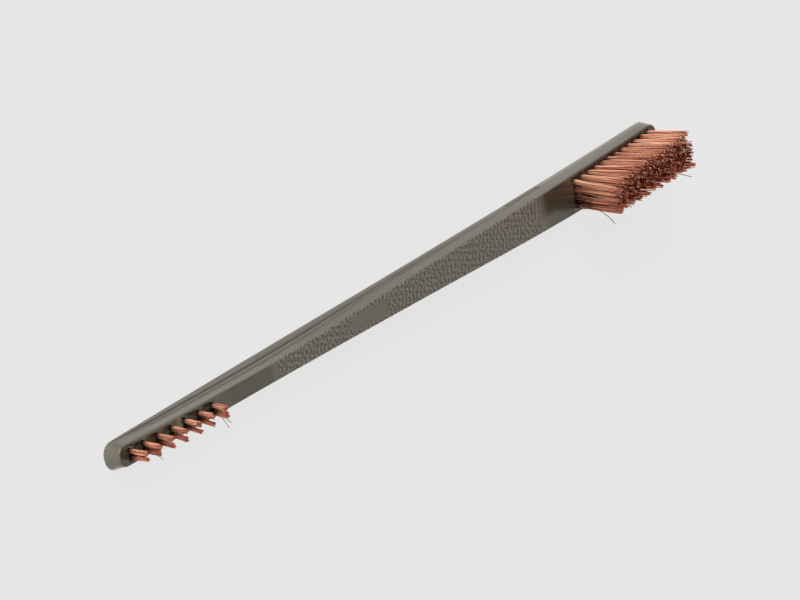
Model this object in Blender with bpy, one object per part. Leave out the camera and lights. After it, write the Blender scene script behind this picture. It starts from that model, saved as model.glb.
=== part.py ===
"""Double-ended copper cleaning brush: a one-piece moulded nylon handle with a dense head of
copper wire tufts at one end and a double row of single tufts at the other.

Metres, +Z up. The brush lies on the two ends of its slightly bowed back, with its bristles up:
the small end points to -X and the head to +X. The origin is on the bench, under the middle.
"""
import math

import bmesh
import bpy
from mathutils import Matrix, Vector

# Handle: overall length, and the rounding of its two ends seen from above
handle_length = 0.178
small_end_round = 0.0032
head_end_round = 0.0043
small_end_squareness = 2.3
head_end_squareness = 3.0

# Handle sections. The back is where a section is widest. From there the side leans in, steps in
# at the ledge where the two halves of the mould part, and ends at the edge of the face. The inset
# is how far in that edge lies, and the ledge is the part of it taken by the step.
tip_width = 0.0061
tip_inset = 0.00100
tip_thickness = 0.0038
tip_ledge_height = 0.0014
tip_ledge = 0.00020

swell_place = 0.051
swell_width = 0.00705
swell_inset = 0.00185
swell_thickness = 0.0052
swell_ledge_height = 0.0027
swell_ledge = 0.00038

grip_place = 0.096
grip_width = 0.00768
grip_inset = 0.00130
grip_thickness = 0.00485
grip_ledge_height = 0.0021
grip_ledge = 0.00022

neck_from_end = 0.036
neck_width = 0.00855
neck_inset = 0.00072
neck_thickness = 0.0047
neck_ledge_height = 0.0019
neck_ledge = 0.00004

head_width = 0.0091
head_inset = 0.00065
head_thickness = 0.0043
head_ledge_height = 0.0019
head_ledge = 0.00003

ledge_drop = 0.00006
shoulder_start = 0.24
shoulder_rise = 0.40
face_edge_round = 0.00030
back_edge_round = 0.0006
head_back_round = 0.0012
face_edge_steps = 3
section_spacing = 0.0055
end_steps = 6

# The head bows gently away from its bristles, so that the brush lies on the ends of its back,
# which are flattened there by this depth
bow_length = 0.058
bow_radius = 0.780
rest_flat_depth = 0.00018

# Tufts of the head: columns run across the handle, rows along it
head_columns = 12
head_rows = 4
head_column_pitch = 0.00239
head_last_column_from_end = 0.0038
head_row_pitch_near = 0.00170
head_row_pitch_far = 0.00192
head_bristle_length = 0.0114
head_tuft_diameter = 0.00116
head_splay = 0.06
head_sides = 7

# Tufts of the small end
detail_columns = 7
detail_rows = 2
detail_column_pitch = 0.0042
detail_first_column = 0.0040
detail_row_pitch = 0.0013
detail_bristle_length = 0.0044
detail_tuft_diameter = 0.00108
detail_splay = 0.06
detail_sides = 6

# Wires and how the tufts are held
wire_gap = 0.00011
wire_tip_scale = 0.75
wire_lean = 0.00010
wire_spread = 0.22
length_spread = 0.05
root_stand = 0.0002
hole_depth = 0.0024
hole_clearance = 0.00010
fold_height = 0.0005
fold_bar_height = 0.0004
anchor_height = 0.0008
anchor_thickness = 0.00028
anchor_overhang = 0.00035
anchor_clearance = 0.00008

nylon_color = (0.105, 0.100, 0.072, 1.0)
copper_color = (0.80, 0.47, 0.34, 1.0)
steel_color = (0.52, 0.50, 0.47, 1.0)


def clear_scene():
    for old in list(bpy.data.objects):
        bpy.data.objects.remove(old, do_unlink=True)


def new_collection(name):
    made = bpy.data.collections.new(name)
    bpy.context.scene.collection.children.link(made)
    return made


def new_material(name, color, roughness, metallic):
    made = bpy.data.materials.new(name)
    made.use_nodes = True
    shader = made.node_tree.nodes["Principled BSDF"]
    shader.inputs["Base Color"].default_value = color
    shader.inputs["Roughness"].default_value = roughness
    shader.inputs["Metallic"].default_value = metallic
    return made


def add_object(name, mesh, home, material=None):
    made = bpy.data.objects.new(name, mesh)
    home.objects.link(made)
    if material:
        mesh.materials.append(material)
    return made


def apply_modifiers(obj):
    """Bakes the modifiers of obj into its mesh."""
    bpy.context.view_layer.update()
    graph = bpy.context.evaluated_depsgraph_get()
    old = obj.data
    obj.data = bpy.data.meshes.new_from_object(obj.evaluated_get(graph))
    obj.modifiers.clear()
    bpy.data.meshes.remove(old)


# Handle


def handle_stations():
    """Sections that size the handle: place, width, inset, thickness, ledge height, ledge, back round."""
    tip = (tip_width, tip_inset, tip_thickness, tip_ledge_height, tip_ledge)
    swell = (swell_width, swell_inset, swell_thickness, swell_ledge_height, swell_ledge)
    grip = (grip_width, grip_inset, grip_thickness, grip_ledge_height, grip_ledge)
    neck = (neck_width, neck_inset, neck_thickness, neck_ledge_height, neck_ledge)
    head = (head_width, head_inset, head_thickness, head_ledge_height, head_ledge)
    places = (0.0, swell_place, grip_place, handle_length - neck_from_end, handle_length)
    rounds = (back_edge_round, back_edge_round, back_edge_round, back_edge_round, head_back_round)
    sections = zip(places, (tip, swell, grip, neck, head), rounds)
    return [(place, *sizes, back_round) for place, sizes, back_round in sections]


def handle_sizes(place):
    """Width, inset, thickness, ledge height, ledge and back round at this place."""
    stations = handle_stations()
    place = min(max(place, 0.0), handle_length)
    span = 0
    while span < len(stations) - 2 and place > stations[span + 1][0]:
        span += 1
    before = stations[max(span - 1, 0)]
    start = stations[span]
    end = stations[span + 1]
    after = stations[min(span + 2, len(stations) - 1)]
    run = end[0] - start[0]
    t = (place - start[0]) / run
    sizes = []
    for i in range(1, len(start)):
        slope_in = run * (end[i] - before[i]) / (end[0] - before[0])
        slope_out = run * (after[i] - start[i]) / (after[0] - start[0])
        value = start[i] * (2 * t**3 - 3 * t**2 + 1) + slope_in * (t**3 - 2 * t**2 + t)
        value += end[i] * (3 * t**2 - 2 * t**3) + slope_out * (t**3 - t**2)
        sizes.append(value)
    return sizes


def back_height(place):
    """Height of the back over the bench, before its ends are flattened where they rest."""
    near = handle_sizes(small_end_round)[5]
    far = handle_length - handle_sizes(handle_length - head_end_round)[5]
    bow_start = handle_length - bow_length

    def dip(x):
        return max(x - bow_start, 0.0) ** 2 / (2 * bow_radius)

    rise = dip(far) / (far - near)
    return rise * (place - near) - dip(place) - rest_flat_depth


def half_section(place):
    """Half of a section, from the back to the face: (half width, height, set-in at the ends)."""
    width, inset, thick, ledge_height, ledge, back_round = handle_sizes(place)
    back = width / 2
    points = [(back - back_round, 0.0), (back - 0.3 * back_round, 0.3 * back_round)]
    points.append((back, back_round))
    lean = (inset - ledge - face_edge_round) / (thick - back_round)
    side = back - lean * (ledge_height - back_round)
    points.append((side, ledge_height))
    points.append((side - ledge, ledge_height + ledge_drop))
    run = side - ledge - (back - inset + face_edge_round)
    rise = thick - face_edge_round - ledge_height
    points.append((side - ledge - shoulder_start * run, ledge_height + shoulder_rise * rise))
    for i in range(face_edge_steps + 1):
        turn = math.radians(90 * i / face_edge_steps)
        across = back - inset + face_edge_round * math.cos(turn)
        up = thick - face_edge_round * (1 - math.sin(turn))
        points.append((across, up))
    return [(across, up, back - across) for across, up in points]


def section_places():
    """Pairs for each section: the place along the handle, and how far round an end it is."""
    places = []
    for i in range(end_steps):
        places.append((small_end_round, 90.0 * i / end_steps))
    body = handle_length - small_end_round - head_end_round
    count = round(body / section_spacing)
    for i in range(count + 1):
        places.append((small_end_round + body * i / count, 90.0))
    for i in reversed(range(end_steps)):
        places.append((handle_length - head_end_round, 90.0 * i / end_steps))
    return places


def rounded_section(place, turn, at_head):
    """The section's points, drawn in along the rounded plan of the handle's end."""
    power = 2 / (head_end_squareness if at_head else small_end_squareness)
    reach = math.sin(math.radians(turn)) ** power
    along = 1 - math.cos(math.radians(turn)) ** power
    points = []
    for across, up, inset in half_section(place):
        x = place
        if turn < 90:
            end = handle_length - inset if at_head else inset
            x = end + (place - end) * along
        points.append((x, across * reach, max(up + back_height(x), 0.0)))
    return points


def make_handle(home, material):
    mesh = bmesh.new()
    rings = []
    places = section_places()
    for i, (place, turn) in enumerate(places):
        points = rounded_section(place, turn, i > len(places) / 2)
        right = [mesh.verts.new(point) for point in points]
        if turn == 0:
            left = right
        else:
            left = [mesh.verts.new((x, -y, z)) for x, y, z in points]
        rings.append((right, left))
    for (right_a, left_a), (right_b, left_b) in zip(rings, rings[1:]):
        for i in range(len(right_a) - 1):
            mesh.faces.new((right_a[i], right_a[i + 1], right_b[i + 1], right_b[i]))
            mesh.faces.new((left_a[i + 1], left_a[i], left_b[i], left_b[i + 1]))
        for level, order in ((0, 1), (-1, -1)):
            corners = [right_a[level], right_b[level], left_b[level], left_a[level]]
            unique = [v for i, v in enumerate(corners) if v not in corners[:i]]
            mesh.faces.new(unique[::order])
    bmesh.ops.recalc_face_normals(mesh, faces=mesh.faces)
    data = bpy.data.meshes.new("handle")
    mesh.to_mesh(data)
    mesh.free()
    data.shade_smooth()
    data.set_sharp_from_angle(angle=math.radians(35))
    handle = add_object("handle", data, home, material)
    handle.location.x = -handle_length / 2
    return handle


# Tufts


def face_height(place):
    return handle_sizes(place)[2] + back_height(place)


def box_mesh(mesh, size, centre):
    matrix = Matrix.Translation(centre) @ Matrix.Diagonal((*size, 1.0))
    bmesh.ops.create_cube(mesh, size=1.0, matrix=matrix)


def prism_mesh(mesh, sides, diameter, low, high, across):
    matrix = Matrix.Translation((0, across, (low + high) / 2))
    matrix = matrix @ Matrix.Rotation(math.pi / sides, 4, "Z")
    bmesh.ops.create_cone(
        mesh,
        cap_ends=True,
        segments=sides,
        radius1=diameter / 2,
        radius2=diameter / 2,
        depth=high - low,
        matrix=matrix,
    )


def hidden_cutter(name, mesh, cutters, at):
    data = bpy.data.meshes.new(name)
    mesh.to_mesh(data)
    mesh.free()
    cutter = add_object(name, data, cutters)
    cutter.location = at
    cutter.hide_render = True
    cutter.display_type = "WIRE"
    return cutter


def boolean(obj, operation, other=None, group=None):
    cut = obj.modifiers.new(operation.lower(), "BOOLEAN")
    cut.operation = operation
    cut.solver = "EXACT"
    if group:
        cut.operand_type = "COLLECTION"
        cut.collection = group
    else:
        cut.object = other


def draw_wires(mesh, length, splay, seed):
    """Turns each plug's top into wires: a wedge each, drawn up with a lean and length of its own."""
    top = max(v.co.z for v in mesh.verts)
    crowns = [f for f in mesh.faces if f.normal.z > 0.99 and f.calc_center_median().z > top - 1e-6]
    for plug, crown in enumerate(crowns):
        middle = crown.calc_center_median()
        wedges = bmesh.ops.poke(mesh, faces=[crown])["faces"]
        bmesh.ops.inset_individual(mesh, faces=wedges, thickness=wire_gap / 2)
        tips = bmesh.ops.extrude_discrete_faces(mesh, faces=wedges)["faces"]
        for i, tip in enumerate(tips):
            centre = tip.calc_center_median()
            out = Vector((centre.x - middle.x, centre.y - middle.y, 0))
            turn = 2.4 * i + 1.7 * plug + seed
            rise = length * (1 - length_spread * (1 + math.sin(3 * turn)) / 2)
            lean = Vector((math.cos(turn), math.sin(turn), 0)) * wire_lean
            lean += out * wire_spread + Vector((0, middle.y, 0)) * splay
            for v in tip.verts:
                v.co = centre + (v.co - centre) * wire_tip_scale + lean + Vector((0, 0, rise))


def plug_levels():
    """Heights in a hole, measured from the face: the fold's underside and the anchor's two edges."""
    fold = hole_clearance - hole_depth
    anchor_low = fold + fold_height
    return fold, anchor_low, anchor_low + anchor_height


def make_tufts(name, at, offsets, sizes, home, cutters, material, seed):
    """The tufts that share a column, held by one fold, with the hole for them in the handle."""
    length, diameter, splay, sides = sizes
    fold, anchor_low, anchor_high = plug_levels()
    mesh = bmesh.new()
    for across in offsets:
        prism_mesh(mesh, sides, diameter, fold, root_stand, across)
    data = bpy.data.meshes.new(name)
    mesh.to_mesh(data)
    mesh.free()
    tufts = add_object(name, data, home, material)
    tufts.location = at
    if len(offsets) > 1:
        bar = bmesh.new()
        bar_size = (anchor_thickness, max(offsets) - min(offsets), fold_bar_height)
        box_mesh(bar, bar_size, (0, 0, fold + fold_height / 2))
        boolean(tufts, "UNION", hidden_cutter(name + "_fold", bar, cutters, at))
    slot = bmesh.new()
    reach = max(offsets) - min(offsets) + diameter * 2
    wide = anchor_thickness + 2 * anchor_clearance
    tall = anchor_height + 2 * anchor_clearance
    box = (wide, reach, tall) if len(offsets) > 1 else (reach, wide, tall)
    box_mesh(slot, box, (0, 0, (anchor_low + anchor_high) / 2))
    boolean(tufts, "DIFFERENCE", hidden_cutter(name + "_slot", slot, cutters, at))
    apply_modifiers(tufts)
    mesh = bmesh.new()
    mesh.from_mesh(tufts.data)
    mesh.normal_update()
    draw_wires(mesh, length, splay, seed)
    mesh.to_mesh(tufts.data)
    mesh.free()
    return tufts


def anchor_reach(offsets, diameter):
    """Length of an anchor that spans the holes of its column and bites into the handle beside them."""
    return max(offsets) - min(offsets) + diameter + 2 * (hole_clearance + anchor_overhang)


def make_anchor(name, at, offsets, diameter, home, material):
    """The flat wire that is driven across the folds and holds them in the handle."""
    _, anchor_low, anchor_high = plug_levels()
    reach = anchor_reach(offsets, diameter)
    size = (anchor_thickness, reach, anchor_height)
    if len(offsets) == 1:
        size = (reach, anchor_thickness, anchor_height)
    mesh = bmesh.new()
    box_mesh(mesh, size, (0, 0, (anchor_low + anchor_high) / 2))
    data = bpy.data.meshes.new(name)
    mesh.to_mesh(data)
    mesh.free()
    anchor = add_object(name, data, home, material)
    anchor.location = at
    return anchor


def make_socket(name, at, offsets, sizes, holes, slits):
    """The cutters for a column's holes and for the slit that its anchor and fold lie in."""
    _, diameter, _, sides = sizes
    floor = -hole_depth
    _, anchor_low, anchor_high = plug_levels()
    mesh = bmesh.new()
    for across in offsets:
        prism_mesh(mesh, sides, diameter + 2 * hole_clearance, floor, hole_depth, across)
    hidden_cutter(name + "_hole", mesh, holes, at)
    slit = bmesh.new()
    reach = anchor_reach(offsets, diameter) + 2 * anchor_clearance
    wide = anchor_thickness + 2 * anchor_clearance
    low = floor if len(offsets) > 1 else anchor_low - anchor_clearance
    high = anchor_high + anchor_clearance
    box = (wide, reach, high - low) if len(offsets) > 1 else (reach, wide, high - low)
    box_mesh(slit, box, (0, 0, (low + high) / 2))
    hidden_cutter(name + "_slit", slit, slits, at)


def head_column_places():
    last = handle_length - head_last_column_from_end
    first = last - (head_columns - 1) * head_column_pitch
    return [first + i * head_column_pitch for i in range(head_columns)]


def row_offsets(rows, pitch):
    return [(row - (rows - 1) / 2) * pitch for row in range(rows)]


def main():
    clear_scene()
    brush = new_collection("copper_cleaning_brush")
    cutters = new_collection("cutters")
    holes = new_collection("hole_cutters")
    slits = new_collection("slit_cutters")
    nylon = new_material("nylon", nylon_color, 0.42, 0.0)
    copper = new_material("copper_wire", copper_color, 0.35, 1.0)
    steel = new_material("anchor_wire", steel_color, 0.40, 1.0)

    handle = make_handle(brush, nylon)

    head_sizes = (head_bristle_length, head_tuft_diameter, head_splay, head_sides)
    for i, place in enumerate(head_column_places()):
        share = i / max(head_columns - 1, 1)
        pitch = head_row_pitch_near + (head_row_pitch_far - head_row_pitch_near) * share
        offsets = row_offsets(head_rows, pitch)
        at = Vector((place - handle_length / 2, 0, face_height(place)))
        label = f"{i + 1:02d}"
        make_socket("head_" + label, at, offsets, head_sizes, holes, slits)
        make_tufts("head_tuft_column_" + label, at, offsets, head_sizes, brush, cutters, copper, i)
        make_anchor("head_anchor_" + label, at, offsets, head_tuft_diameter, brush, steel)

    detail_sizes = (detail_bristle_length, detail_tuft_diameter, detail_splay, detail_sides)
    for i in range(detail_columns):
        place = detail_first_column + i * detail_column_pitch
        for side, across in zip(("left", "right"), row_offsets(detail_rows, detail_row_pitch)):
            at = Vector((place - handle_length / 2, across, face_height(place)))
            label = f"{side}_{i + 1}"
            make_socket("detail_" + label, at, [0.0], detail_sizes, holes, slits)
            make_tufts("detail_tuft_" + label, at, [0.0], detail_sizes, brush, cutters, copper, i)
            make_anchor("detail_anchor_" + label, at, [0.0], detail_tuft_diameter, brush, steel)

    boolean(handle, "DIFFERENCE", group=holes)
    boolean(handle, "DIFFERENCE", group=slits)


main()
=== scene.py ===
import math
import random

import bmesh
import bpy
import numpy as np
from mathutils import Matrix, Vector, noise


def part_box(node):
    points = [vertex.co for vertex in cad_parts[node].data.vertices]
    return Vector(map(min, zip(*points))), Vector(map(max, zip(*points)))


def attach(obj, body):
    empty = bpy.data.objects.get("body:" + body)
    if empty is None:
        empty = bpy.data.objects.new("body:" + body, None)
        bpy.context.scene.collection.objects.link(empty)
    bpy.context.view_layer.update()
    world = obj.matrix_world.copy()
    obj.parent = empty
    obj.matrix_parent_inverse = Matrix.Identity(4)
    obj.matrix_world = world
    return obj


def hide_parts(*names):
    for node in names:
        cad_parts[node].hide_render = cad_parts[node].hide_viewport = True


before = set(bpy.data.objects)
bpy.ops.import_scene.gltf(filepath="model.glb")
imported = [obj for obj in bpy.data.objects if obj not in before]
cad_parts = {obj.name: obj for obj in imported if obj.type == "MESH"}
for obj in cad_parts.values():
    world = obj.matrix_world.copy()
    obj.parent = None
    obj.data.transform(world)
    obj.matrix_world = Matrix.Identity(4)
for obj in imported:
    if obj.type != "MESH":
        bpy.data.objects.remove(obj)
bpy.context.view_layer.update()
MM = 0.001
random.seed(11)

# Handle: lengths, and places along X from its middle. The small end is at -X and the head at +X.
handle_half = 89.0 * MM
small_end_tufts_from = -86.4 * MM
small_end_tufts_to = -56.5 * MM
head_tufts_from = 57.0 * MM
head_tufts_to = 86.6 * MM
small_end_hole_reach = 1.78 * MM
head_hole_reach = 3.66 * MM
hole_spare = 0.05 * MM
lowest_hole = 1.0 * MM
head_end_round = 4.3 * MM
head_end_tip = 0.985
head_end_power = 3.0
squarer_power = 4.2
worn_edge = 0.06 * MM
face_window = 3.0 * MM
face_drop = 0.4 * MM
rim_angle = math.radians(28)
smooth_angle = math.radians(32)

# The ledge along the side and the shoulder above it: values at these places along X
shoulder_places = (-89.0 * MM, -38.0 * MM, 7.0 * MM, 30.0 * MM, 53.0 * MM, 89.0 * MM)
cad_ledge_depths = (2.40 * MM, 2.50 * MM, 2.75 * MM, 2.78 * MM, 2.80 * MM, 2.40 * MM)
ledge_drops = (0.36 * MM, 0.42 * MM, 0.50 * MM, 0.35 * MM, 0.0, 0.0)
ledge_depths = tuple(depth + drop for depth, drop in zip(cad_ledge_depths, ledge_drops))
wall_drafts = (0.165, 0.25, 0.19, 0.14, 0.10, 0.10)
shoulder_leans = (0.23, 0.37, 0.27, 0.22, 0.15, 0.15)
cove_strengths = (0.80, 1.20, 0.85, 0.45, 0.15, 0.05)
bend_share = 0.65
side_from = 1.9 * MM
ledge_step = 0.23 * MM
ledge_spare = 0.16 * MM
ledge_inner = 0.02 * MM
ledge_above_back = 1.2 * MM
bend_above_back = 1.7 * MM
ledge_fades_at = 40.0 * MM
ledge_below = 1.2 * MM
end_curve = (-88.5 * MM, -85.5 * MM)
end_ledge_to = -86.6 * MM
end_ledge_taper = 0.42
end_taper_length = 1.2 * MM

# The cove in the shoulder: how far in it goes (mm) at shares of the height from ledge to face
cove_heights = (0.0, 0.06, 0.12, 0.18, 0.25, 0.40, 0.60, 0.80, 0.90, 1.0)
cove_depths = (0.0, 0.10, 0.20, 0.28, 0.31, 0.26, 0.16, 0.05, 0.0, 0.0)
cove_band = (0.02, 0.98)
cove_to = 84.0 * MM
cove_fade = 6.0 * MM
shoulder_cuts = 8
same_section = 0.01 * MM
shoulder_rise_min = 0.5 * MM
shoulder_top = 0.15 * MM
shoulder_foot = 0.1 * MM

# Grain and panel of the grip
grip_from = -40.0 * MM
grip_to = 47.5 * MM
grip_fade = 2.4 * MM
panel_from = -14.9 * MM
panel_to = -3.6 * MM
panel_half_width = 1.45 * MM
panel_edge = 0.25 * MM
panel_sink = 0.06 * MM
panel_step = 0.13 * MM
panel_dust = 0.45
section_gap_min = 5.0 * MM
section_gap_max = 6.0 * MM
relief_rings = 50
relief_columns = 38
face_above_back = 3.5 * MM
face_width_min = 1.5 * MM
face_band = 0.34 * MM
shoulder_band = 1.10 * MM
shoulder_grain_from = 8.0 * MM
shoulder_grain_to = grip_to - 15 * MM
relief_depth = 0.14 * MM
grain_wave = 0.92 * MM
grain_waves = 40
grain_turn = 0.56
grain_seed = 5
grain_wave_spread = (0.62, 1.55)
grain_cut = (-0.15, 0.60)
grain_end_cut = (0.35, 0.65)
grain_lit = (0.12, 0.45)
band_fade = (0.75, 1.15)
wander_scale = 1300.0
wander_layer = 4.4
ragged_edge = 0.60 * MM
ragged_run = (0.02 * MM, 0.12 * MM)

# What is painted on the handle for its material, as shares from 0 to 1. A share runs from 0 at
# the first place or height of a run to 1 at the second.
groove_shade = 0.9
# Painted shade: a dark line in the ledge's crease beside the small end, fading out toward the
# middle
ledge_shade = 0.55
ledge_shade_reach = 0.09 * MM
ledge_shade_side = 1.2 * MM
ledge_shade_from = -87.0 * MM
ledge_shade_run = (-52.0 * MM, -74.0 * MM)
faces_up = 0.9
rim_depth = 0.05 * MM
rim_satin = 0.55
satin_heights = (0.0, 0.25, 0.40, 0.65, 0.85, 1.0)
satin_shoulder = (0.0, 0.0, 0.50, 0.55, 0.35, 0.35)
satin_middle_run = (-50.0 * MM, -22.0 * MM)
satin_neck = 0.6
neck_heights = (0.05, 0.25)
neck_run = (-10.0 * MM, 35.0 * MM)
head_side_run = (grip_to - 2 * MM, grip_to + 2 * MM)
copper_mirror = (-1.6 * MM, -0.4 * MM)
satin_small_end = 0.30
small_end_run = (-54.0 * MM, -60.0 * MM)
# Painted light: where the small end is painted lighter, less on faces that point up
lightened_end_run = (-85.5 * MM, -88.5 * MM)
unlightened_up = (0.80, 0.97)
strip_runs = ((-57.0 * MM, -60.0 * MM), (-85.0 * MM, -81.0 * MM))
strip_depth = 0.30 * MM

# Copper wires. A root shade is the height over the roots where it ends, and its share.
wire_sides = 5
wire_stretches = 8
wire_radius = 0.076 * MM
wire_start = -0.95 * MM
wire_wave = 7.5
wire_smooth_angle = math.radians(80)
root_shade_from = 0.10 * MM
golden_turn = 2.39996
turn_scatter = 0.25
lock_spread = (0.85, 1.15)
lock_pull = (0.20, 0.72)
tip_scatter = 0.07 * MM
tip_ragged = 0.6
bow_scatter = 0.09 * MM
crimp_spread = (0.3, 1.0)
tone_scatter = 0.22
stray_tone = -0.55
stray_crimp = 0.03 * MM

# Head
head_columns = 12
head_rows = 4
head_row_pitch_near = 1.70 * MM
head_row_pitch_far = 1.92 * MM
head_tuft = {
    "count": 40,
    "root_radius": 0.52 * MM,
    "tip_radius": 1.08 * MM,
    "length": 11.4 * MM,
    "splay": 0.04,
    "ragged": 0.36 * MM,
    "crimp": 0.07 * MM,
    "locks": 6,
}
head_wire_sizes = (0.88, 1.12)
head_top_spare = 0.15 * MM
head_root_shade = (0.60 * MM, 0.50)
# Mean tone of each row from -Y to +Y, with painted light: the rows toward the lit +Y side lighter
head_row_light_tones = (0.28, 0.42, 0.52, 0.62)
head_lean = (0.40 * MM, 0.80 * MM, 1.10 * MM, 1.35 * MM)
head_lean_scatter = 0.10 * MM
leaning_columns = 3
outer_lean = 0.12 * MM
last_lean = 0.50 * MM
tangled_wires = 26
tangled_crimp = 0.18 * MM
# Painted shade: how dark the tangled wires are painted all along
tangled_shades = (0.55, 0.95)
# By column: how far along X the tip is, its Y, how far up it is, and the power of the wire's bend
head_strays = {
    0: (-3.8 * MM, -4.72 * MM, 11.9 * MM, 2.0),
    9: (0.9 * MM, -4.72 * MM, 12.6 * MM, 1.8),
}

# Small end
small_columns = 7
small_tuft = {
    "count": 40,
    "root_radius": 0.56 * MM,
    "tip_radius": 0.64 * MM,
    "length": 4.4 * MM,
    "splay": 0.03,
    "ragged": 0.24 * MM,
    "crimp": 0.05 * MM,
    "locks": 4,
}
small_wire_sizes = (0.9, 1.15)
small_top_spare = 0.1 * MM
small_lean_scatter = (0.12 * MM, 0.10 * MM)
# How far the roots and tips shift with each column (mm)
root_drift = 0.025
tip_drift = -0.07
# By side: how far aside the root stands and the tip leans, the wires' tone (painted light: lighter
# on the lit right side) and the root shade
small_sides = {
    "left": (0.04 * MM, 0.68 * MM, 0.24, (2.80 * MM, 0.97)),
    "right": (0.10 * MM, 0.48 * MM, 0.48, (1.30 * MM, 0.85)),
}
# By side and column, as for the head
small_strays = {
    ("left", 6): ((0.4 * MM, -4.40 * MM, 2.9 * MM, 2.4), (0.5 * MM, -3.30 * MM, 3.6 * MM, 2.4)),
    ("left", 1): ((0.3 * MM, -2.90 * MM, 4.0 * MM, 1.6),),
}

# Stage
floor_size = 6.0
backdrop_gray = (0.802, 0.802, 0.802, 1.0)
floor_paint = (0.80, 0.80, 0.80, 1.0)
floor_even_share = 0.93
floor_gloss = 1.95
warm_gloss = (0.850, 0.802, 0.735, 1.0)
sky_gloss = 1.50
sky_light = 0.34
soft_box_direction = (0.70, 0.62, 0.34)
soft_box_edge = 0.84
soft_box_core = 0.98
soft_box_gloss = 3.3
key_direction = (-0.36, 0.76, 0.55)
key_energy = 3.0
key_width = math.radians(35)

# Camera, fitted to the photograph: photograph pixels for a millimetre along X, Y and Z
pixels_along = Vector((3.0365, -1.8076))
pixels_across = Vector((-1.0208, -4.6252))
pixels_up = Vector((3.7999, 0.2019))
small_end_pixel = Vector((106.7, 458.6))
picture = Vector((800.0, 600.0))
camera_distance = 5.5
camera_reach = 20.0
sensor_width = 36.0


# Meshes


def only(piece):
    """Makes piece the one that is selected and active."""
    bpy.ops.object.select_all(action="DESELECT")
    piece.select_set(True)
    bpy.context.view_layer.objects.active = piece


def open_piece(piece, kind, selected):
    """Opens piece for editing with all or nothing selected. kind is VERT or EDGE."""
    only(piece)
    bpy.ops.object.mode_set(mode="EDIT")
    bpy.ops.mesh.select_mode(type=kind)
    bpy.ops.mesh.select_all(action="SELECT" if selected else "DESELECT")


def work_on(piece, kind, test, operator, **options):
    """Runs an operator on the points or edges of the piece that pass the test."""
    open_piece(piece, kind, selected=False)
    mesh = bmesh.from_edit_mesh(piece.data)
    for part in mesh.verts if kind == "VERT" else mesh.edges:
        if test(part):
            part.select_set(True)
    bmesh.update_edit_mesh(piece.data)
    operator(**options)
    bpy.ops.object.mode_set(mode="OBJECT")


def coordinates(piece):
    places = np.empty(len(piece.data.vertices) * 3)
    piece.data.vertices.foreach_get("co", places)
    return places.reshape(-1, 3)


def place(piece, places):
    piece.data.vertices.foreach_set("co", places.astype(np.float32).ravel())
    piece.data.update()


def vertex_normals(piece):
    normals = np.empty(len(piece.data.vertices) * 3)
    piece.data.vertex_normals.foreach_get("vector", normals)
    return normals.reshape(-1, 3)


def smooth_step(value, low, high):
    t = np.clip((value - low) / (high - low), 0.0, 1.0)
    return t * t * (3 - 2 * t)


def paint(piece, name, values):
    """Keeps one number a point on the piece, for its material to read."""
    layer = piece.data.attributes.new(name, "FLOAT", "POINT")
    layer.data.foreach_set("value", np.asarray(values, np.float32))


# Materials


def node(tree, kind, **values):
    """A new node. A value is a setting of the node or else an input, with _ for a space."""
    made = tree.nodes.new(kind)
    for name, value in values.items():
        if hasattr(made, name):
            setattr(made, name, value)
        else:
            made.inputs[name.replace("_", " ")].default_value = value
    return made


def painted(tree, name):
    """The number that paint() keeps under this name."""
    return node(tree, "ShaderNodeAttribute", attribute_name=name).outputs["Fac"]


def noise_at(tree, **values):
    """Noise in the piece's own coordinates."""
    made = node(tree, "ShaderNodeTexNoise", **values)
    where = node(tree, "ShaderNodeTexCoord")
    tree.links.new(where.outputs["Object"], made.inputs["Vector"])
    return made.outputs["Fac"]


def ramp(tree, source, stops):
    """The colour that stands at a number from 0 to 1 between the stops."""
    made = node(tree, "ShaderNodeValToRGB")
    slots = made.color_ramp.elements
    while len(slots) < len(stops):
        slots.new(0.5)
    for slot, (position, color) in zip(slots, stops):
        slot.position = position
        slot.color = (*color, 1.0)
    tree.links.new(source, made.inputs["Fac"])
    return made.outputs["Color"]


def spread(tree, source, low, high):
    """A number from 0 to 1, spread from low to high."""
    made = node(tree, "ShaderNodeMapRange", To_Min=low, To_Max=high)
    tree.links.new(source, made.inputs["Value"])
    return made.outputs["Result"]


def scaled_sum(tree, first, scale, second):
    made = node(tree, "ShaderNodeMath", operation="MULTIPLY_ADD")
    made.inputs[1].default_value = scale
    tree.links.new(first, made.inputs[0])
    tree.links.new(second, made.inputs[2])
    return made.outputs["Value"]


def tinted(tree, color, share, tint):
    """A colour with a share of another one in it."""
    made = node(tree, "ShaderNodeMix", data_type="RGBA")
    made.inputs["B"].default_value = (*tint, 1.0)
    tree.links.new(share, made.inputs["Factor"])
    tree.links.new(color, made.inputs["A"])
    return made.outputs["Result"]


def mixed(tree, share, first, second):
    """The first shader, and the second by its share."""
    made = node(tree, "ShaderNodeMixShader")
    tree.links.new(share, made.inputs["Fac"])
    tree.links.new(first, made.inputs[1])
    tree.links.new(second, made.inputs[2])
    return made.outputs["Shader"]


def empty_material(name):
    made = bpy.data.materials.new(name)
    made.use_nodes = True
    made.node_tree.nodes.clear()
    return made


def principled(name, **values):
    """A material with one shader: the material, its node tree and the shader's inputs."""
    made = empty_material(name)
    tree = made.node_tree
    shader = node(tree, "ShaderNodeBsdfPrincipled", **values)
    out = node(tree, "ShaderNodeOutputMaterial")
    tree.links.new(shader.outputs["BSDF"], out.inputs["Surface"])
    return made, tree, shader.inputs


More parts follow.
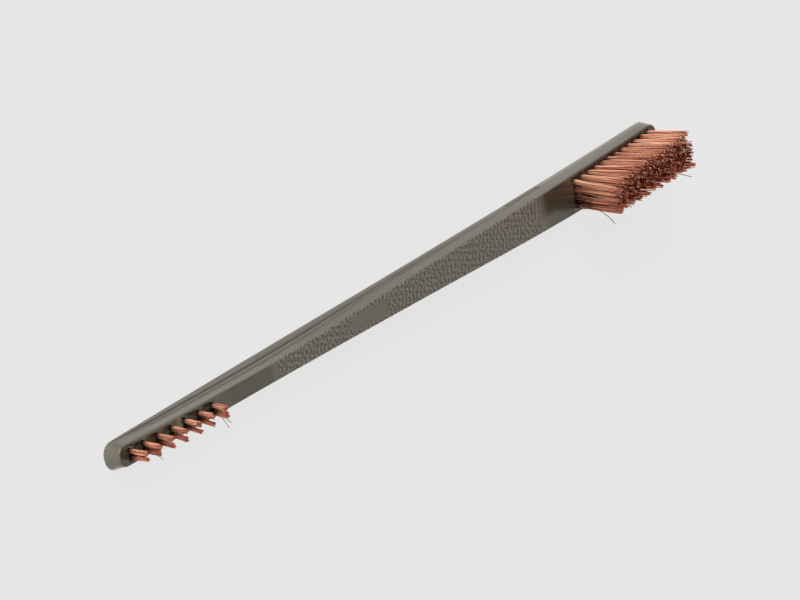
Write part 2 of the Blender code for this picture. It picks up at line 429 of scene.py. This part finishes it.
def nylon_material():
    """Dark olive-brown moulded nylon: glossy where smooth, duller on the grain, lighter at the
    small end by painted light, and dark in holes, grooves and creases by painted shade.
    """
    made, tree, inputs = principled("moulded_nylon", IOR=1.53)
    grain = painted(tree, "grain")
    cloud = noise_at(tree, Scale=240.0, Detail=4.0, Roughness=0.6)
    color = ramp(tree, cloud, [(0.30, (0.028, 0.024, 0.015)), (0.72, (0.040, 0.034, 0.024))])
    color = tinted(tree, color, grain, (0.113, 0.095, 0.077))
    # Painted light: the small end's walls and a strip of its face painted lighter
    color = tinted(tree, color, painted(tree, "tint_share"), (0.120, 0.112, 0.082))
    # Painted shade: dark in the holes, in the ledge's crease and at the panel's step; the grain's
    # grooves darker from dirt and painted shade
    color = tinted(tree, color, painted(tree, "groove"), (0.016, 0.013, 0.009))
    tree.links.new(color, inputs["Base Color"])
    mirror = spread(tree, painted(tree, "satin"), 0.50, 0.20)
    tree.links.new(mirror, inputs["Specular IOR Level"])

    speck = noise_at(tree, Scale=5200.0, Detail=2.0, Roughness=0.6)
    rough = scaled_sum(tree, speck, 0.14, spread(tree, grain, 0.16, 0.34))
    tree.links.new(rough, inputs["Roughness"])
    bump = node(tree, "ShaderNodeBump", Strength=0.22, Distance=0.02 * MM)
    tree.links.new(speck, bump.inputs["Height"])
    tree.links.new(bump.outputs["Normal"], inputs["Normal"])
    return made


def copper_material():
    """Bare copper wire: each wire has its own tone, with the rows' painted light in it; painted
    shade at the roots; the ends duller and redder.
    """
    made, tree, inputs = principled("copper_wire", Metallic=1.0)
    tone = painted(tree, "tone")
    tones = [
        (0.0, (0.42, 0.150, 0.095)),
        (0.45, (0.66, 0.315, 0.215)),
        (1.0, (0.84, 0.520, 0.390)),
    ]
    color = ramp(tree, tone, tones)
    toward_tip = scaled_sum(tree, tone, -0.22, painted(tree, "along"))
    tint_share = ramp(tree, toward_tip, [(0.64, (0.0, 0.0, 0.0)), (0.88, (0.50, 0.50, 0.50))])
    color = tinted(tree, color, tint_share, (0.380, 0.110, 0.072))
    # Painted shade at the roots, and on wires painted dark all along
    color = tinted(tree, color, painted(tree, "root"), (0.032, 0.012, 0.008))
    tree.links.new(color, inputs["Base Color"])
    tarnish = noise_at(tree, Scale=1400.0, Detail=3.0, Roughness=0.6)
    tree.links.new(spread(tree, tarnish, 0.26, 0.48), inputs["Roughness"])
    return made


def cut_copper_material():
    """The bright cut ends of the wires."""
    made, tree, inputs = principled("cut_copper", Metallic=1.0)
    # Darker to brighter with the wire's tone, which carries the rows' painted light
    tones = [(0.50, (0.34, 0.100, 0.062)), (0.80, (0.92, 0.560, 0.430))]
    tree.links.new(ramp(tree, painted(tree, "tone"), tones), inputs["Base Color"])
    sheared = noise_at(tree, Scale=6000.0, Detail=1.0)
    tree.links.new(spread(tree, sheared, 0.22, 0.42), inputs["Roughness"])
    return made


def anchor_material():
    """Drawn steel wire."""
    made, tree, inputs = principled("anchor_wire", Metallic=1.0)
    drawn = noise_at(tree, Scale=900.0, Detail=2.0)
    tones = [(0.3, (0.44, 0.42, 0.39)), (0.7, (0.60, 0.58, 0.54))]
    tree.links.new(ramp(tree, drawn, tones), inputs["Base Color"])
    tree.links.new(spread(tree, drawn, 0.30, 0.45), inputs["Roughness"])
    return made


def floor_material():
    """Pale floor: even to the camera and to gloss, with the brush's soft shadow on it."""
    made = empty_material("pale_floor")
    tree = made.node_tree
    path = node(tree, "ShaderNodeLightPath").outputs
    warm = node(tree, "ShaderNodeMix", data_type="RGBA")
    warm.inputs["A"].default_value = backdrop_gray
    warm.inputs["B"].default_value = warm_gloss
    tree.links.new(path["Is Glossy Ray"], warm.inputs["Factor"])
    even = node(tree, "ShaderNodeEmission")
    tree.links.new(warm.outputs["Result"], even.inputs["Color"])
    strength = spread(tree, path["Is Glossy Ray"], 1.0, floor_gloss)
    tree.links.new(strength, even.inputs["Strength"])
    seen = node(tree, "ShaderNodeMath", operation="MAXIMUM")
    tree.links.new(path["Is Camera Ray"], seen.inputs[0])
    tree.links.new(path["Is Glossy Ray"], seen.inputs[1])
    share = spread(tree, seen.outputs["Value"], 0.0, floor_even_share)
    shadowed = node(tree, "ShaderNodeBsdfDiffuse", Color=floor_paint)
    shown = mixed(tree, share, shadowed.outputs["BSDF"], even.outputs["Emission"])
    out = node(tree, "ShaderNodeOutputMaterial")
    tree.links.new(shown, out.inputs["Surface"])
    return made


# Handle


def merged_copy(node_name, piece_name):
    """The CAD node's shape as one closed mesh, ready to be worked on."""
    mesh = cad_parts[node_name].data.copy()
    mesh.materials.clear()
    piece = bpy.data.objects.new(piece_name, mesh)
    bpy.context.scene.collection.objects.link(piece)
    open_piece(piece, "VERT", selected=True)
    bpy.ops.mesh.remove_doubles(threshold=1e-6)
    bpy.ops.mesh.tris_convert_to_quads(
        face_threshold=math.radians(30), shape_threshold=math.radians(60)
    )
    bpy.ops.object.mode_set(mode="OBJECT")
    return piece


def face_heights(piece):
    """Heights of the face along the handle: places along X, and the highest point at each."""
    best = {}
    for x, _, z in coordinates(piece):
        key = round(x / MM)
        if key not in best or z > best[key][1]:
            best[key] = (x, z)
    places, heights = (np.array(column) for column in zip(*sorted(best.values())))
    # Points lower than that are in the holes or on the handle's round ends
    near = np.abs(places[:, None] - places) < face_window
    on_face = heights > np.where(near, heights, 0.0).max(axis=1) - face_drop
    return [places[on_face], heights[on_face]]


def below_face(face_line, x, z):
    return np.interp(x, *face_line) - z


def at_place(x, values):
    """What the values at shoulder_places come to at a place along the handle."""
    return np.interp(x, shoulder_places, values)


def by_tufts(x):
    """Whether a place along the handle is one that holds tufts."""
    by_small_end = (x > small_end_tufts_from) & (x < small_end_tufts_to)
    return by_small_end | (x > head_tufts_from) & (x < head_tufts_to)


def hole_reach_at(x):
    """How far out the tufts' holes reach at a place along the handle."""
    return np.where(x > head_tufts_from, head_hole_reach, small_end_hole_reach)


def lower_ledge(piece, face_line):
    """Sets the ledge, and the bend above it, further down the side than on the CAD handle."""
    places = coordinates(piece)
    x, y, z = places.T
    depth = below_face(face_line, x, z)
    cad_depth = at_place(x, cad_ledge_depths)
    on_side = (np.abs(y) > side_from) | (x < end_ledge_to)
    on_ledge = on_side & (np.abs(depth - cad_depth) < ledge_spare) & (z > ledge_above_back)
    on_bend = on_side & (np.abs(depth - bend_share * cad_depth) < ledge_spare)
    on_bend &= z > bend_above_back
    drop = (on_ledge | on_bend) * at_place(x, ledge_drops)
    slope = np.where(on_bend, at_place(x, shoulder_leans), at_place(x, wall_drafts))
    places[:, 1] += np.sign(y) * drop * slope * smooth_step(x, *end_curve)
    places[:, 2] -= drop
    place(piece, places)


def square_head_end(piece):
    """Makes the plan of the head's end a little squarer than the CAD handle's."""
    places = coordinates(piece)
    share = (places[:, 0] - handle_half + head_end_round) / head_end_round
    share = np.clip(share, 0, head_end_tip)
    rounder = (1 - share ** head_end_power) ** (1 / head_end_power)
    squarer = (1 - share ** squarer_power) ** (1 / squarer_power)
    places[:, 1] *= squarer / rounder
    place(piece, places)


def close_end_ledge(piece, face_line):
    """Draws the ledge's two edges together beside the small end and joins them around it."""
    places = coordinates(piece)
    x, y, z = places.T
    depth = below_face(face_line, x, z)
    share = end_ledge_taper * (np.abs(depth - ledge_depths[0]) < ledge_spare)
    share *= (x > end_ledge_to) & (x < end_ledge_to + end_taper_length)
    inner = depth < ledge_depths[0] - ledge_inner
    places[:, 1] += np.sign(y) * np.where(inner, 0.5, -0.5) * share * ledge_step
    place(piece, places)

    def on_end_ledge(vert):
        x, _, z = vert.co
        on_ledge = abs(below_face(face_line, x, z) - ledge_depths[0]) < ledge_spare
        return x < end_ledge_to and on_ledge

    work_on(piece, "VERT", on_end_ledge, bpy.ops.mesh.remove_doubles, threshold=ledge_step)


def soften_edges(piece, face_line):
    """Rounds the moulding's sharp edges, but not the holes' edges or the ledge by the head."""

    def is_sharp(edge):
        if len(edge.link_faces) != 2 or edge.calc_face_angle(0.0) < rim_angle:
            return False
        middle = (edge.verts[0].co + edge.verts[1].co) / 2
        deep = below_face(face_line, middle.x, middle.z) > ledge_below
        if middle.x > ledge_fades_at and deep and middle.z > lowest_hole:
            return False
        points = (vert.co for vert in edge.verts)
        return not any(by_tufts(p.x) and abs(p.y) < hole_reach_at(p.x) for p in points)

    work_on(
        piece, "EDGE", is_sharp, bpy.ops.mesh.bevel,
        offset=worn_edge, segments=2, profile=0.5, affect="EDGES", clamp_overlap=True,
    )


def shape_shoulder(piece, face_line):
    """Curves the shoulder in above the ledge as a cove."""

    def runs_up_shoulder(edge):
        a, b = (vert.co for vert in edge.verts)
        if abs(a.x) > cove_to or abs(a.x - b.x) > same_section:
            return False
        if abs(a.z - b.z) < shoulder_rise_min:
            return False
        if min(abs(a.y), abs(b.y)) <= hole_reach_at(a.x) + hole_spare:
            return False
        shallow = below_face(face_line, a.x, max(a.z, b.z))
        deep = below_face(face_line, a.x, min(a.z, b.z))
        return shallow > shoulder_top and deep < at_place(a.x, ledge_depths) + shoulder_foot

    work_on(
        piece, "EDGE", runs_up_shoulder, bpy.ops.mesh.subdivide, number_cuts=shoulder_cuts
    )
    places = coordinates(piece)
    x, y, z = places.T
    height = 1 - below_face(face_line, x, z) / at_place(x, ledge_depths)
    inward = np.interp(height, cove_heights, cove_depths) * MM
    inward *= at_place(x, cove_strengths)
    inward *= 1 - smooth_step(np.abs(x), cove_to - cove_fade, cove_to)
    in_band = (height > cove_band[0]) & (height < cove_band[1])
    in_band &= np.abs(y) > hole_reach_at(x) + hole_spare
    places[:, 1] -= np.where(in_band, np.sign(y) * inward, 0.0)
    place(piece, places)


def refine_grip(piece):
    """Cuts the grip into fine rings, and its face into fine columns, for the grain."""
    low = grip_from - section_gap_max
    high = grip_to + section_gap_max

    def in_grip(a, b):
        return low < min(a.x, b.x) and max(a.x, b.x) < high

    def runs_along(edge):
        a, b = (vert.co for vert in edge.verts)
        return in_grip(a, b) and section_gap_min < abs(a.x - b.x) < section_gap_max

    def runs_across_face(edge):
        a, b = (vert.co for vert in edge.verts)
        on_face = abs(a.x - b.x) < same_section and a.z > face_above_back
        return in_grip(a, b) and on_face and abs(a.y - b.y) > face_width_min

    work_on(piece, "EDGE", runs_along, bpy.ops.mesh.subdivide, number_cuts=relief_rings)
    work_on(
        piece, "EDGE", runs_across_face, bpy.ops.mesh.subdivide, number_cuts=relief_columns
    )


def grain_grooves(x, y):
    """0 on the ridges of the grain and 1 in its grooves: even wrinkles that run mostly across."""
    waves = random.Random(grain_seed)
    field = np.zeros(len(x))
    for _ in range(grain_waves):
        turn = waves.gauss(0, grain_turn)
        step = 2 * math.pi / (grain_wave * waves.uniform(*grain_wave_spread))
        phase = waves.uniform(0, 2 * math.pi)
        field += np.cos(step * (x * math.cos(turn) + y * math.sin(turn)) + phase)
    return smooth_step(field / math.sqrt(grain_waves / 2), *grain_cut)


def grain_grip(piece, places, normals, depth):
    """Moves the grip's points in for the grain and the bare panel. Returns the grooves' share."""
    x, y, _ = places.T
    spots = zip(x * wander_scale, y * wander_scale)
    wander = np.array([noise.noise(Vector((a, b, wander_layer))) for a, b in spots])
    ends = smooth_step(x, grip_from - grip_fade, grip_from + grip_fade)
    ends *= 1 - smooth_step(x, grip_to - grip_fade, grip_to + grip_fade)
    middle = (panel_from + panel_to) / 2
    off_panel = np.maximum(np.abs(x - middle) - (panel_to - panel_from) / 2, 0)
    off_panel = np.maximum(off_panel, np.abs(y) - panel_half_width)
    bare = 1 - smooth_step(off_panel, 0.0, panel_edge)
    down_shoulder = smooth_step(x, shoulder_grain_from, shoulder_grain_to)
    reach = face_band + (shoulder_band - face_band) * down_shoulder
    ragged = depth + ragged_edge * wander * smooth_step(depth, *ragged_run)
    dusty = smooth_step(normals[:, 2], *grain_lit) * ends
    dusty *= 1 - smooth_step(ragged, band_fade[0] * reach, band_fade[1] * reach)
    groove = grain_grooves(x, y) * dusty * (1 - bare)
    groove *= smooth_step(ends + 0.5 * wander, *grain_end_cut)
    # Painted shadow: a dark line at the panel's right step, also sunk a little with the grooves
    step_shadow_line = np.exp(-(((x - panel_to - panel_step) / panel_step) ** 2))
    step_shadow_line *= (np.abs(y) < panel_half_width) * (normals[:, 2] > faces_up)
    groove = np.maximum(groove, step_shadow_line)
    sunk = relief_depth * groove + panel_sink * bare * dusty
    place(piece, places - normals * sunk[:, None])
    paint(piece, "grain", dusty * (1 - (1 - panel_dust) * bare))
    return groove


def satin_share(x, y, depth, on_face):
    """How satin the nylon is: on the shoulder, and on the bare parts of the face."""
    height = 1 - depth / at_place(x, ledge_depths)
    toward_neck = smooth_step(x, *neck_run)
    satin = np.interp(height, satin_heights, satin_shoulder) * (1 - toward_neck)
    satin *= smooth_step(x, *satin_middle_run)
    satin += smooth_step(height, *neck_heights) * toward_neck * satin_neck
    face_satin = smooth_step(x, *head_side_run) * smooth_step(y, *copper_mirror)
    face_satin += satin_small_end * smooth_step(x, *small_end_run)
    return np.where(on_face, face_satin, satin)


def painted_light_share(x, depth, up):
    """How much painted light lightens the nylon: on the small end's walls, and in a strip along its
    face's edge beside the small end's tufts, where shade falls.
    """
    tint_share = smooth_step(x, *lightened_end_run) * (1 - smooth_step(up, *unlightened_up))
    strip = smooth_step(x, *strip_runs[0]) * smooth_step(x, *strip_runs[1])
    strip *= (up > faces_up) & (depth < strip_depth)
    return np.maximum(tint_share, strip)


def finish_surface(piece, face_line):
    """Cuts the grain, and paints on the handle painted shade in the holes, the ledge's crease and
    the grooves (with their dirt), the satin, and painted light at the small end.
    """
    places = coordinates(piece)
    normals = vertex_normals(piece)
    x, y, z = places.T
    up = normals[:, 2]
    depth = below_face(face_line, x, z)
    groove = grain_grip(piece, places, normals, depth)
    in_hole = (z > lowest_hole) & (np.abs(y) < hole_reach_at(x) + hole_spare) & by_tufts(x)
    by_rim = depth < rim_depth
    # Painted shade in the ledge's crease, joined with the grooves' darkening
    on_ledge = np.abs(depth - at_place(x, ledge_depths)) < ledge_shade_reach
    on_ledge &= (np.abs(y) > ledge_shade_side) & (x > ledge_shade_from)
    groove_and_ledge_shade = np.maximum(groove, ledge_shade * on_ledge * smooth_step(x, *ledge_shade_run))
    # Painted shade: the holes' walls below the rim painted dark, and the grooves darker from dirt
    # and painted shade
    paint(piece, "groove", np.where(in_hole, ~by_rim, groove_shade * groove_and_ledge_shade))
    satin = satin_share(x, y, depth, up > faces_up)
    paint(piece, "satin", np.where(in_hole, np.where(by_rim, rim_satin, 1.0), satin))
    # Painted light: the small end's walls and a strip of its face beside the tufts painted lighter
    paint(piece, "tint_share", painted_light_share(x, depth, up))


def make_handle(material):
    piece = merged_copy("handle", "nylon_handle")
    face_line = face_heights(piece)
    lower_ledge(piece, face_line)
    square_head_end(piece)
    close_end_ledge(piece, face_line)
    soften_edges(piece, face_line)
    shape_shoulder(piece, face_line)
    refine_grip(piece)
    only(piece)
    bpy.ops.object.shade_smooth_by_angle(angle=smooth_angle)
    finish_surface(piece, face_line)
    only(piece)
    bpy.ops.object.modifier_add(type="WEIGHTED_NORMAL")
    piece.modifiers[-1].weight = 90
    piece.modifiers[-1].keep_sharp = True
    bpy.ops.object.modifier_apply(modifier=piece.modifiers[-1].name)
    piece.data.materials.append(material)
    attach(piece, "root")
    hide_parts("handle")


# Wires


def model_wire():
    """One wire, upright, 1 high and 1 in radius, cut into short stretches: its points and faces."""
    bpy.ops.mesh.primitive_cylinder_add(
        vertices=wire_sides, radius=1.0, depth=1.0, end_fill_type="NGON", location=(0, 0, 0.5)
    )
    wire = bpy.context.object

    def is_upright(edge):
        return abs(edge.verts[0].co.z - edge.verts[1].co.z) > 0.5

    work_on(wire, "EDGE", is_upright, bpy.ops.mesh.subdivide, number_cuts=wire_stretches - 1)
    bpy.ops.object.transform_apply(location=True)
    points = coordinates(wire)
    faces = [tuple(polygon.vertices) for polygon in wire.data.polygons]
    bpy.data.objects.remove(wire)
    return points, faces


def lay_wires(name, wire, paths, radii, tones, base, root_shade):
    """Copies the wire along each path, a function of how far along the wire a point is.

    A tone below 0 is a wire painted dark all along. The base is the height of the roots.
    """
    points, faces = wire
    count = len(points)
    steps, where = np.unique(np.round(points[:, 2], 5), return_inverse=True)
    blocks = []
    for path, radius in zip(paths, radii):
        line = np.array([path(step) for step in steps])
        ahead = np.gradient(line, axis=0)
        ahead /= np.linalg.norm(ahead, axis=1)[:, None]
        side = np.cross(np.array([0.0, 1.0, 0.0]), ahead)
        side /= np.linalg.norm(side, axis=1)[:, None]
        other = np.cross(ahead, side)
        around = points[:, :1] * side[where] + points[:, 1:2] * other[where]
        blocks.append(line[where] + radius * around)
    places = np.concatenate(blocks)
    all_faces = [tuple(v + i * count for v in face) for i in range(len(blocks)) for face in faces]
    mesh = bpy.data.meshes.new(name)
    mesh.from_pydata(places.tolist(), [], all_faces)
    piece = bpy.data.objects.new(name, mesh)
    bpy.context.scene.collection.objects.link(piece)
    tones = np.array(tones)
    paint(piece, "tone", np.repeat(np.maximum(tones, 0.0), count))
    paint(piece, "along", np.tile(points[:, 2], len(blocks)))
    # Painted shade over the roots; wires with a tone below 0 painted dark all along
    shade_to, shade = root_shade
    shaded = shade * (1 - smooth_step(places[:, 2] - base, root_shade_from, shade_to))
    dark_all_along = np.repeat(np.maximum(-tones, 0.0), count)
    paint(piece, "root", np.maximum(dark_all_along, shaded))
    only(piece)
    bpy.ops.object.shade_smooth_by_angle(angle=wire_smooth_angle)
    cut_end = next(
        i for i, face in enumerate(faces) if len(face) == wire_sides and points[face[0], 2] > 0.99
    )
    for i in range(len(blocks)):
        mesh.polygons[cut_end + i * len(faces)].material_index = 1
    return piece


def wire_path(root, tip, bow, crimp, phase, power=0.85):
    """A wire that stands straight in its hole and then runs to its tip with a bow and a crimp."""
    root = np.array(root)
    tip = np.array(tip)
    bow = np.array(bow)
    height = tip[2] - root[2]

    def path(t):
        up = wire_start + (height - wire_start) * t
        if up <= 0:
            return np.array([root[0], root[1], root[2] + up])
        share = up / height
        out = share ** power
        wave = crimp * share * math.sin(phase + wire_wave * share)
        straight = root + (tip - root) * np.array([out, out, share])
        swing = bow * math.sin(math.pi * share)
        return straight + swing + np.array([math.cos(phase), math.sin(phase), 0.0]) * wave

    return path


def tuft(root, lean, count, root_radius, tip_radius, length, splay, ragged, crimp, locks):
    """The paths of a tuft's wires: tight in the hole, then parting into locks with uneven tips."""
    heads = []
    for i in range(locks):
        turn = golden_turn * i + random.uniform(0, 2 * math.pi)
        far = tip_radius * math.sqrt((i + 0.6) / locks) * random.uniform(*lock_spread)
        drop = abs(random.gauss(0, ragged))
        heads.append((far * math.cos(turn), far * math.sin(turn), drop))
    paths = []
    for i in range(count):
        share = math.sqrt((i + 0.5) / count)
        turn = golden_turn * i + random.uniform(-turn_scatter, turn_scatter)
        across = Vector((math.cos(turn), math.sin(turn)))
        start = (
            root[0] + root_radius * share * across.x,
            root[1] + root_radius * share * across.y,
            root[2],
        )
        own = Vector((tip_radius * share * across.x, tip_radius * share * across.y))
        lock = min(heads, key=lambda head: (head[0] - own.x) ** 2 + (head[1] - own.y) ** 2)
        pull = random.uniform(*lock_pull)
        aside = lean[1] + splay * root[1]
        tip = (
            root[0] + own.x + (lock[0] - own.x) * pull + lean[0] + random.gauss(0, tip_scatter),
            root[1] + own.y + (lock[1] - own.y) * pull + aside + random.gauss(0, tip_scatter),
            root[2] + length - lock[2] - abs(random.gauss(0, ragged * tip_ragged)),
        )
        swing = random.gauss(0, bow_scatter)
        heading = random.uniform(0, 2 * math.pi)
        bow = (swing * math.cos(heading), swing * math.sin(heading), 0.0)
        own_crimp = random.uniform(*crimp_spread) * crimp
        paths.append(wire_path(start, tip, bow, own_crimp, heading))
    return paths


def tangled_wire(x, pitch, base):
    """A short wire that is bent over at the root of the head's first column."""
    start = (x + random.gauss(-0.1, 0.25) * MM, -random.uniform(0.4, 1.7) * pitch, base)
    tip = (
        start[0] + random.uniform(-0.5, 0.9) * MM,
        start[1] + random.gauss(-0.2, 0.35) * MM,
        start[2] + random.uniform(1.6, 6.0) * MM,
    )
    bow = (random.gauss(-0.4, 0.3) * MM, random.gauss(0.1, 0.2) * MM, 0.0)
    return wire_path(start, tip, bow, tangled_crimp, random.uniform(0, 6.0))


def stray(root, x, reach):
    """A single wire that has sprung out of its tuft."""
    along, y, up, power = reach
    tip = (x + along, y, root[2] + up)
    return wire_path(root, tip, (0.0, 0.0, 0.0), stray_crimp, 1.0, power)


def tones_for(paths, middle):
    return [min(max(random.gauss(middle, tone_scatter), 0.0), 1.0) for _ in paths]


def root_of(node_name):
    """Middle of the hole that a tuft node stands in, and the node's top."""
    low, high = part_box(node_name)
    return (low.x + high.x) / 2, (low.y + high.y) / 2, high.z


def finish_wires(piece, finishes, node_name):
    for finish in finishes:
        piece.data.materials.append(finish)
    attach(piece, "root")
    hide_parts(node_name)


def make_head(wire, finishes):
    for column in range(head_columns):
        label = f"{column + 1:02d}"
        node_name = "head_tuft_column_" + label
        x, _, top = root_of(node_name)
        base = top - head_tuft["length"] - head_top_spare
        share = column / (head_columns - 1)
        pitch = head_row_pitch_near + (head_row_pitch_far - head_row_pitch_near) * share
        first = max(0.0, 1.0 - column / leaning_columns)
        last = max(0.0, column - head_columns + leaning_columns) / 2
        paths = []
        tones = []
        for row in range(head_rows):
            lean = (
                random.gauss(0, head_lean_scatter) - last * last_lean,
                -first * head_lean[row] - outer_lean * (row == 0),
            )
            y = (row - (head_rows - 1) / 2) * pitch
            wires = tuft((x, y, base), lean, **head_tuft)
            paths += wires
            # Painted light: rows toward the lit +Y side get lighter tones
            tones += tones_for(wires, head_row_light_tones[row])
        if column == 0:
            for _ in range(tangled_wires):
                paths.append(tangled_wire(x, pitch, base))
                # Painted shade: the tangled wires at the roots painted dark all along
                tones.append(-random.uniform(*tangled_shades))
        if column in head_strays:
            near_row = -(head_rows - 1) / 2 * pitch
            paths.append(stray((x, near_row, base), x, head_strays[column]))
            tones.append(stray_tone)
        radii = [wire_radius * random.uniform(*head_wire_sizes) for _ in paths]
        name = "copper_tufts_" + label
        piece = lay_wires(name, wire, paths, radii, tones, base, head_root_shade)
        finish_wires(piece, finishes, node_name)


def make_small_end(wire, finishes):
    for side, (aside, down, tone, root_shade) in small_sides.items():
        for i in range(small_columns):
            node_name = f"detail_tuft_{side}_{i + 1}"
            x, y, top = root_of(node_name)
            base = top - small_tuft["length"] - small_top_spare
            root = (x - root_drift * i * MM, y - aside, base)
            lean = (
                random.gauss(tip_drift * i * MM, small_lean_scatter[0]),
                random.gauss(-down, small_lean_scatter[1]),
            )
            wires = tuft(root, lean, **small_tuft)
            strays = [stray(root, x, reach) for reach in small_strays.get((side, i), ())]
            paths = wires + strays
            radii = [wire_radius * random.uniform(*small_wire_sizes) for _ in paths]
            # Painted light: the right row's tone lighter than the left's
            tones = tones_for(wires, tone) + [stray_tone] * len(strays)
            name = f"copper_tuft_{side}_{i + 1}"
            piece = lay_wires(name, wire, paths, radii, tones, base, root_shade)
            finish_wires(piece, finishes, node_name)


# Stage


def make_world():
    """A gray backdrop to the camera, soft light, and a sky with a soft box for gloss."""
    world = bpy.data.worlds.new("studio")
    bpy.context.scene.world = world
    world.use_nodes = True
    tree = world.node_tree
    tree.nodes.clear()
    path = node(tree, "ShaderNodeLightPath").outputs

    facing = node(tree, "ShaderNodeVectorMath", operation="DOT_PRODUCT")
    facing.inputs[1].default_value = Vector(soft_box_direction).normalized()
    where = node(tree, "ShaderNodeTexCoord")
    tree.links.new(where.outputs["Generated"], facing.inputs[0])
    soft_box = node(
        tree, "ShaderNodeMapRange", interpolation_type="SMOOTHSTEP",
        From_Min=soft_box_edge, From_Max=soft_box_core, To_Min=sky_gloss, To_Max=soft_box_gloss,
    )
    tree.links.new(facing.outputs["Value"], soft_box.inputs["Value"])
    mirrored_sky = node(tree, "ShaderNodeBackground", Color=warm_gloss)
    tree.links.new(soft_box.outputs["Result"], mirrored_sky.inputs["Strength"])

    soft_sky = node(
        tree, "ShaderNodeBackground", Color=(1.0, 1.0, 1.0, 1.0), Strength=sky_light
    ).outputs["Background"]
    backdrop = node(tree, "ShaderNodeBackground", Color=backdrop_gray).outputs["Background"]
    light = mixed(tree, path["Is Glossy Ray"], soft_sky, mirrored_sky.outputs["Background"])
    shown = mixed(tree, path["Is Camera Ray"], light, backdrop)
    out = node(tree, "ShaderNodeOutputWorld")
    tree.links.new(shown, out.inputs["Surface"])


def make_stage():
    bpy.ops.mesh.primitive_plane_add(size=floor_size)
    floor = bpy.context.object
    floor.name = "floor"
    floor.data.materials.append(floor_material())
    make_world()
    key = bpy.data.objects.new("key_light", bpy.data.lights.new("key_light", "SUN"))
    key.data.energy = key_energy
    key.data.angle = key_width
    key.rotation_euler = Vector(key_direction).to_track_quat("Z", "Y").to_euler()
    bpy.context.scene.collection.objects.link(key)


def make_camera():
    right = Vector((pixels_along.x, pixels_across.x, pixels_up.x))
    up = -Vector((pixels_along.y, pixels_across.y, pixels_up.y))
    pixels = (right.length + up.length) / 2
    right.normalize()
    up = (up - right * up.dot(right)).normalized()
    toward = right.cross(up)
    middle = small_end_pixel + pixels_along * (handle_half / MM)
    target = right * ((picture.x / 2 - middle.x) / pixels) * MM
    target -= up * ((picture.y / 2 - middle.y) / pixels) * MM
    camera = bpy.data.objects.new("camera", bpy.data.cameras.new("camera"))
    camera.data.type = "PERSP"
    camera.data.sensor_width = sensor_width
    camera.data.lens = sensor_width * camera_distance / (picture.x / pixels * MM)
    camera.data.clip_end = camera_reach
    matrix = Matrix((right, up, toward)).transposed().to_4x4()
    matrix.translation = target + toward * camera_distance
    camera.matrix_world = matrix
    bpy.context.scene.collection.objects.link(camera)
    bpy.context.scene.camera = camera


# Build

make_camera()
bpy.context.scene.view_settings.view_transform = "Standard"
anchor = anchor_material()
for node_name, cad_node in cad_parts.items():
    if "anchor" in node_name:
        cad_node.data.materials.clear()
        cad_node.data.materials.append(anchor)
make_handle(nylon_material())
copper = (copper_material(), cut_copper_material())
one_wire = model_wire()
make_head(one_wire, copper)
make_small_end(one_wire, copper)
make_stage()
